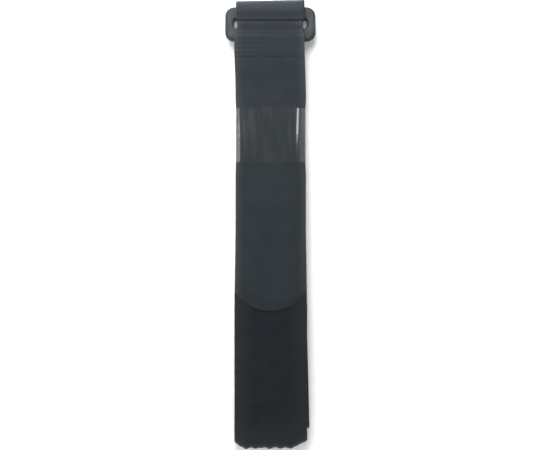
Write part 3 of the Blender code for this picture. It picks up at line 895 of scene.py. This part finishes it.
def film_material():
    """Clear film: it lets the tape show, and shines at a glance and along its creases; on the
    tallest crease's flank its reflection is strengthened, a painted highlight.
    """
    material, tree, shader = new_material("clear_film")
    place = object_place(tree)
    stretched = add_node(tree, "ShaderNodeMapping", {"Vector": place, "Scale": (1.0, 0.12, 1.0)})
    streaks = noise_node(tree, stretched.outputs["Vector"], 1.6 * MM, 2.0, 0.5)
    normal = bump(tree, streaks, 0.20 * MM, 0.1)
    shader.inputs["Base Color"].default_value = (0.95, 0.97, 0.98, 1.0)
    shader.inputs["Metallic"].default_value = 0.95
    rough = remap(tree, streaks, 0.35, 0.75, 0.12, 0.28)
    tree.links.new(rough, shader.inputs["Roughness"])
    tree.links.new(normal, shader.inputs["Normal"])
    clear = add_node(tree, "ShaderNodeBsdfTransparent")
    clear.inputs["Color"].default_value = (0.97, 0.98, 0.98, 1.0)
    facing = add_node(tree, "ShaderNodeFresnel", {"IOR": 1.5, "Normal": normal}).outputs[0]
    parts = add_node(tree, "ShaderNodeSeparateXYZ", {"Vector": place})
    from_crease = math_node(tree, "SUBTRACT", parts.outputs["X"], SHARP_CREASE_X)
    offset = math_node(tree, "ABSOLUTE", from_crease)
    on_flank = remap(tree, offset, CREASE_FLANK, CREASE_FADE, 1.0, 0.0)
    up_sleeve = remap(tree, parts.outputs["Y"], BAND_LOW_Y + SHINE_FOOT, BAND_HIGH_Y - SHINE_HEAD)
    # Painted highlight: the film reflects up to about four times more on the tallest crease's
    # flank, growing up the sleeve.
    folded = math_node(tree, "MULTIPLY", on_flank, up_sleeve)
    gain = math_node(tree, "MULTIPLY_ADD", folded, 2.4, 0.75)
    share = math_node(tree, "MINIMUM", math_node(tree, "MULTIPLY", facing, gain), 0.14)
    mixed = add_node(tree, "ShaderNodeMixShader", {0: share, 1: clear.outputs[0],
                                                   2: shader.outputs[0]})
    tree.links.new(mixed.outputs[0], tree.nodes["Material Output"].inputs["Surface"])
    return material


def floor_material():
    material, tree, shader = new_material("studio_floor")
    place = object_place(tree)
    shade = noise_node(tree, place, 300 * MM, 1.0)
    colour = ramp(tree, shade, 0.2, 0.8, (0.90, 0.90, 0.90), (0.93, 0.93, 0.93))
    tree.links.new(colour, shader.inputs["Base Color"])
    shader.inputs["Roughness"].default_value = 0.9
    shader.inputs["Specular IOR Level"].default_value = 0.1
    return material


# The pieces

def loop_relief(station, facing, across, x, s, base):
    """Height of the relief, and the mark that the materials read: worn pile lit by painted light,
    painted light at the outer fold, a pressed dot, or painted shade on the lap by the slot.
    """
    run, _, heading = station
    pressed = lap_share(run, heading)
    if facing > 0:
        covered = COVERED_PILE if run in ("inner", "tail") else 1.0
        amount = smooth(s, 0.0, BARE_TAIL) * (1 - pressed) * covered
        # Real wear flattens the pile near the ring, and the same mask lightens its colour as
        # painted light on the fixed loop.
        worn_and_lit = smooth(base.y, RING_Y - WORN_AND_LIT_START, RING_Y - WORN_AND_LIT_FULL)
        # Painted light: the pile is lightened towards the outer fold, where it turns to the front
        # lamp.
        fold_light = 1 - smooth(base.y, FOLD_END_Y + FOLD_LIGHT_START, FOLD_END_Y + FOLD_LIGHT_END)
        filled = 0.0
        if run in ("tail", "wrap") and base.y < RING_Y + INNER_BEND:
            filled = SLOT_FILL * smooth(heading, 0.0, WRAP_FILL_HEADING)
            filled += corner_fill(heading, WALL_HEADING, WRAP_HEADING)
        height = pile_relief(x, s, amount * (1 - WORN_PILE * worn_and_lit)) + filled
        # Painted highlight: the fixed loop's top edge is lightened further, where the back light
        # would catch it.
        top = smooth(base.y, RING_Y + TOP_HIGHLIGHT_START, RING_Y + TOP_HIGHLIGHT_FULL)
        worn_and_lit *= WORN_LOOP_SHARE_BELOW_HIGHLIGHT + (1 - WORN_LOOP_SHARE_BELOW_HIGHLIGHT) * top
        return height, max(worn_and_lit, FOLD_LIGHT_SHARE * fold_light)
    pit = weld_pit(across, base.y, LAP_END_Y + WELD_PITCH * WELD_ROWS) * pressed
    filled = 0.0
    if run in ("slot", "lap") and base.y > ring_point(-INNER_BEND).x - WRAP_RADIUS:
        upright = 1 - smooth(heading, *LAP_FILL_HEADINGS)
        filled = SLOT_FILL * upright * smooth(base.y, RING_BOTTOM_Y, RING_Y - LAP_FILL_BELOW)
        if base.y > ring_point(-INNER_BEND).x:
            filled += corner_fill(heading, WALL_HEADING, LAP_HEADING)
    # Painted shade: the lap is darkened near the slot, below the fixed loop.
    painted_shade = pressed * smooth(base.y, RING_Y - LAP_SHADE_START, RING_Y + LAP_SHADE_FULL)
    return filled - PIT_DEPTH * pit, pit - painted_shade * (1 - pit)


def build_loop_tape(pile, weave):
    return lay_tape("loop_tape_pile", belt(loop_bends(), loop_step), place_loop, loop_relief,
                    lambda station: loop_width(station.point.x), LOOP_RADII, (pile, weave))


def hook_relief(*_):
    """The hook tape's surface is smooth, and it carries no relief and no mark."""
    return 0.0, 0.0


def build_hook_tape(hooks, weave):
    return lay_tape("hook_tape_strap", belt(hook_bends(), hook_step), place_hook, hook_relief,
                    lambda station: tape_width(station.point.x, HOOK_WIDTH), HOOK_RADII,
                    (hooks, weave))


def film_outline(inset):
    """The sleeve's section in X and Z, inset by the film's thickness on the inner side."""
    half = BAND_WIDTH / 2 - inset
    low = inset
    high = STACK_TOP + FILM_GAP + FILM_THICK - inset
    corners = [(half, low, BAND_FOOT_CORNER, 270), (half, high, FILM_CORNER, 0),
               (-half, high, FILM_CORNER, 90), (-half, low, BAND_FOOT_CORNER, 180)]
    section = []
    for x, z, outer_radius, start in corners:
        radius = outer_radius - inset
        middle_x = x - math.copysign(radius, x)
        middle_z = z + radius if z == low else z - radius
        for step in range(FILM_CORNER_STEPS + 1):
            angle = math.radians(start + 90 * step / FILM_CORNER_STEPS)
            section.append((middle_x + radius * math.cos(angle),
                            middle_z + radius * math.sin(angle)))
    outline = []
    for index, (x, z) in enumerate(section):
        next_x, next_z = section[(index + 1) % len(section)]
        corner_ends = (index + 1) % (FILM_CORNER_STEPS + 1) == 0
        steps = FILM_FLAT_STEPS[index // (FILM_CORNER_STEPS + 1)] if corner_ends else 1
        outline += [(x + (next_x - x) * step / steps, z + (next_z - z) * step / steps)
                    for step in range(steps)]
    return outline


def film_crease(x, share):
    """How far the film stands off at a place across, share 0 to 1 up the sleeve."""
    height = 0.0
    for place, width, tallest, start, full in FILM_CREASES:
        sway = CREASE_SWAY * math.sin(CREASE_TURN * share + place)
        away = (x / MM - place - sway) / width
        height += tallest * math.exp(-away * away) * smooth(share, start, full)
    return height * MM


def film_point(x, z, share):
    """The sleeve takes the bundle's crown, bows up at its top edge and has small creases."""
    across = max(-1.0, min(1.0, x / (BAND_WIDTH / 2)))
    on_front = smooth(z, STACK_TOP - FILM_FRONT_DEPTH, STACK_TOP)
    crown = (1 - across * across) * min(1.0, z / STACK_TOP)
    y = BAND_LOW_Y + BAND_LENGTH * share + BAND_BOW * crown * max(0.0, 2 * share - 1)
    lift = film_crease(x, share) * on_front
    return x + centre_x(BAND_LOW_Y), y, z * squeeze(BAND_LOW_Y, across) + lift


def build_band(film):
    """A closed sleeve of thin film with small creases down its front."""
    shape = bmesh.new()
    skins = []
    for inset in (0.0, FILM_THICK):
        outline = film_outline(inset)
        skins.append([[shape.verts.new(film_point(x, z, row / FILM_ROWS)) for x, z in outline]
                      for row in range(FILM_ROWS + 1)])
    for rings in skins:
        for first, second in zip(rings, rings[1:]):
            for index in range(len(first)):
                after = (index + 1) % len(first)
                face = shape.faces.new((first[index], first[after], second[after],
                                        second[index]))
                face.smooth = True
    outer, inner = skins
    for row in (0, FILM_ROWS):
        for index in range(len(outer[row])):
            after = (index + 1) % len(outer[row])
            rim = shape.faces.new((outer[row][index], outer[row][after], inner[row][after],
                                   inner[row][index]))
            for edge in rim.edges:
                edge.smooth = False
    return closed_object("film_sleeve", shape, film)


def rounded_outline(width, depth, corner):
    """Points round a rectangle with rounded corners, starting on its right side."""
    points = []
    for turn in range(4):
        across, along = ((width, depth), (depth, width))[turn % 2]
        middle = Vector((across / 2 - corner, along / 2 - corner))
        quarter = []
        for step in range(RING_CORNER_STEPS + 1):
            angle = math.pi / 2 * step / RING_CORNER_STEPS
            quarter.append(middle + Vector((math.cos(angle), math.sin(angle))) * corner)
        steps = RING_SIDE_STEPS[turn % 2]
        before = Vector((across / 2, -along / 2 + corner))
        side = [before.lerp(quarter[0], step / steps) for step in range(1, steps)]
        spin = Matrix.Rotation(turn * math.pi / 2, 2)
        points += [spin @ point for point in side + quarter]
    return points


def ring_section():
    """Steps from the outer side over the top to the slot: inset, share towards the slot, height."""
    half = RING_THICK / 2
    over = []
    for step in range(RING_RIM_STEPS + 1):
        angle = math.pi / 2 * step / RING_RIM_STEPS
        inset = RING_RIM * (1 - math.cos(angle))
        over.append((inset, 0.0, half - RING_RIM + RING_RIM * math.sin(angle)))
    for step in range(1, RING_FLAT_STEPS):
        over.append((RING_RIM, step / RING_FLAT_STEPS, half))
    over += [(inset, 1.0, height) for inset, _, height in reversed(over[:RING_RIM_STEPS + 1])]
    under = [(inset, share, -height) for inset, share, height in reversed(over)]
    return over + under


def build_ring(plastic):
    """The moulded ring: a rounded plate with one slot, its bars rounded all the way."""
    depth = SLOT_HEIGHT + 2 * BAR_DEPTH
    slot_width = SLOT_TAPE_WIDTH + 2 * SLOT_SIDE_EASE
    tilt = Matrix.Rotation(-RING_TILT, 3, "X")
    shape = bmesh.new()
    loops = []
    for inset, share, height in ring_section():
        outer = rounded_outline(RING_WIDTH - 2 * inset, depth - 2 * inset, RING_CORNER - inset)
        inner = rounded_outline(slot_width + 2 * inset, SLOT_HEIGHT + 2 * inset,
                                SLOT_CORNER + inset)
        row = []
        for far, near in zip(outer, inner):
            flat = far.lerp(near, share)
            sink = noise_at(flat.x, flat.y, height, RING_WAVE_SIZE) * RING_WAVINESS
            point = tilt @ Vector((flat.x, flat.y, height + math.copysign(sink, height)))
            row.append(shape.verts.new(point + Vector((0.0, RING_Y, RING_Z))))
        loops.append(row)
    for index, row in enumerate(loops):
        following = loops[(index + 1) % len(loops)]
        for place in range(len(row)):
            after = (place + 1) % len(row)
            face = shape.faces.new((row[place], row[after], following[after],
                                    following[place]))
            face.smooth = True
    return closed_object("moulded_ring", shape, plastic)


def fibre(rng, root, normal, size, height):
    """One loop of filament: points and faces of a bent, closed thread, its feet in the tape."""
    direction = Vector((rng.uniform(-1, 1), rng.uniform(-1, 1), rng.uniform(-1, 1)))
    along = normal.cross(direction).normalized()
    aside = normal.cross(along)
    tilt = rng.uniform(-FIBRE_LEAN, FIBRE_LEAN)
    points = []
    for step in range(FIBRE_STEPS + 1):
        angle = math.pi * step / FIBRE_STEPS
        up = math.sin(angle)
        middle = root - along * (size / 2 * math.cos(angle))
        middle += (normal + aside * tilt) * (height * up) - normal * FIBRE_ROOT
        outward = along * -math.cos(angle) + normal * up
        for side in range(FIBRE_SIDES):
            turn = 2 * math.pi * side / FIBRE_SIDES
            point = middle + (outward * math.cos(turn) + aside * math.sin(turn)) * FIBRE_RADIUS
            point.z = max(point.z, 0.0)
            points.append(point)
    last = len(points) - 1
    faces = [tuple(range(FIBRE_SIDES)), tuple(range(last, last - FIBRE_SIDES, -1))]
    for step in range(FIBRE_STEPS):
        for side in range(FIBRE_SIDES):
            first = step * FIBRE_SIDES + side
            after = step * FIBRE_SIDES + (side + 1) % FIBRE_SIDES
            faces.append((first, first + FIBRE_SIDES, after + FIBRE_SIDES, after))
    return points, faces


def build_nap(name, tape, pile, chosen, per_face, seed):
    """Loops of filament standing on the tape's pile side, where chosen says of a face's middle."""
    rng = random.Random(seed)
    source = tape.data
    edge_map = source.uv_layers["edge"].data
    points, faces, marks = [], [], []
    for polygon in source.polygons:
        if polygon.material_index != 0 or len(points) > NAP_MOST_POINTS:
            continue
        if not chosen(polygon.center, polygon.normal):
            continue
        corners = [source.vertices[index].co for index in polygon.vertices]
        mark = edge_map[polygon.loop_start].uv
        for _ in range(math.floor(per_face + rng.random())):
            across, along = rng.random(), rng.random()
            near = corners[0].lerp(corners[1], across)
            far = corners[3].lerp(corners[2], across)
            root = near.lerp(far, along)
            size = rng.uniform(*FIBRE_LENGTHS) * MM
            height = rng.uniform(*FIBRE_HEIGHTS) * MM
            made, sides = fibre(rng, root, polygon.normal.copy(), size, height)
            first = len(points)
            points += made
            faces += [tuple(first + index for index in face) for face in sides]
            marks += [(mark.x, mark.y)] * sum(len(face) for face in sides)
    mesh = bpy.data.meshes.new(name)
    mesh.from_pydata(points, [], faces)
    mesh.uv_layers.new(name="tape")
    layer = mesh.uv_layers.new(name="edge")
    layer.data.foreach_set("uv", [value for mark in marks for value in mark])
    mesh.shade_smooth()
    return link_object(name, mesh, pile)


def build_naps(loop_tape, pile):
    """The nap on the front of the outer fold, under the bundle, and on the fixed loop."""
    def on_front(place, normal):
        return place.y < TIP_Y + NAP_TIP_MARGIN and place.z > FRONT_Z / 2 and normal.z > -0.4

    def on_wrap(place, normal):
        return place.y > RING_Y and (normal.z > -0.3 or normal.y > 0.6)

    def underneath(place, normal):
        before_ring = place.y < RING_Y + NAP_RING_MARGIN
        return normal.z < -0.3 and place.z < LOOP_THICK and before_ring

    return [build_nap("nap_front", loop_tape, pile, on_front, FRONT_NAP, 11),
            build_nap("nap_wrap", loop_tape, pile, on_wrap, WRAP_NAP, 12),
            build_nap("nap_back", loop_tape, pile, underneath, BACK_NAP, 13)]


def build_stage():
    mesh = bpy.data.meshes.new("floor")
    shape = bmesh.new()
    bmesh.ops.create_grid(shape, x_segments=1, y_segments=1, size=FLOOR_HALF)
    shape.to_mesh(mesh)
    shape.free()
    link_object("floor", mesh, floor_material())


def add_area_light(name, place, target, size, power):
    data = bpy.data.lights.new(name, "AREA")
    data.shape = "DISK"
    data.size = size
    data.energy = power
    light = link_object(name, data)
    light.location = place
    direction = Vector(target) - Vector(place)
    light.rotation_euler = direction.to_track_quat("-Z", "Y").to_euler()


def build_world():
    """A bright studio round the table, dimmer straight above where the camera hangs."""
    world = bpy.data.worlds.new("studio")
    world.use_nodes = True
    tree = world.node_tree
    background = tree.nodes["Background"]
    direction = add_node(tree, "ShaderNodeTexCoord").outputs["Generated"]
    height = add_node(tree, "ShaderNodeSeparateXYZ", {"Vector": direction}).outputs["Z"]
    colour = ramp(tree, height, 0.72, 0.98, (1.0, 1.0, 1.0), (0.35, 0.35, 0.35))
    tree.links.new(colour, background.inputs["Color"])
    background.inputs["Strength"].default_value = WORLD_STRENGTH
    bpy.context.scene.world = world


def build_camera():
    """Straight above, as far up as the photograph's own perspective asks for."""
    data = bpy.data.cameras.new("camera")
    data.sensor_width = SENSOR_WIDTH
    data.lens = SENSOR_WIDTH * CAMERA_DISTANCE / (PHOTO_WIDTH * PIXEL)
    data.clip_start = 0.01
    data.clip_end = 20.0
    camera = link_object("camera", data)
    camera.location = (*CAMERA_PLACE, CAMERA_PLANE + CAMERA_DISTANCE)
    bpy.context.scene.camera = camera


def main():
    pile = pile_material()
    weave = weave_material("loop_tape_back", LOOP_BACK_DARK, LOOP_BACK_LIGHT)
    strap = weave_material("hook_tape_back", HOOK_BACK_DARK, HOOK_BACK_LIGHT)
    loop_tape, loop_length = build_loop_tape(pile, weave)
    hook_tape, hook_length = build_hook_tape(pile, strap)
    naps = build_naps(loop_tape, pile)
    for nap in naps:
        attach(nap, "root")
    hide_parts("loop_tape")
    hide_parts("hook_tape")
    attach(loop_tape, "root")
    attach(hook_tape, "root")
    band = build_band(film_material())
    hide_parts("clear_band")
    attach(band, "root")
    ring = build_ring(ring_material())
    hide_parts("slot_ring")
    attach(ring, "root")
    build_stage()
    build_world()
    for lamp in LAMPS:
        add_area_light(*lamp)
    build_camera()
    bpy.context.scene.view_settings.view_transform = "Standard"


main()
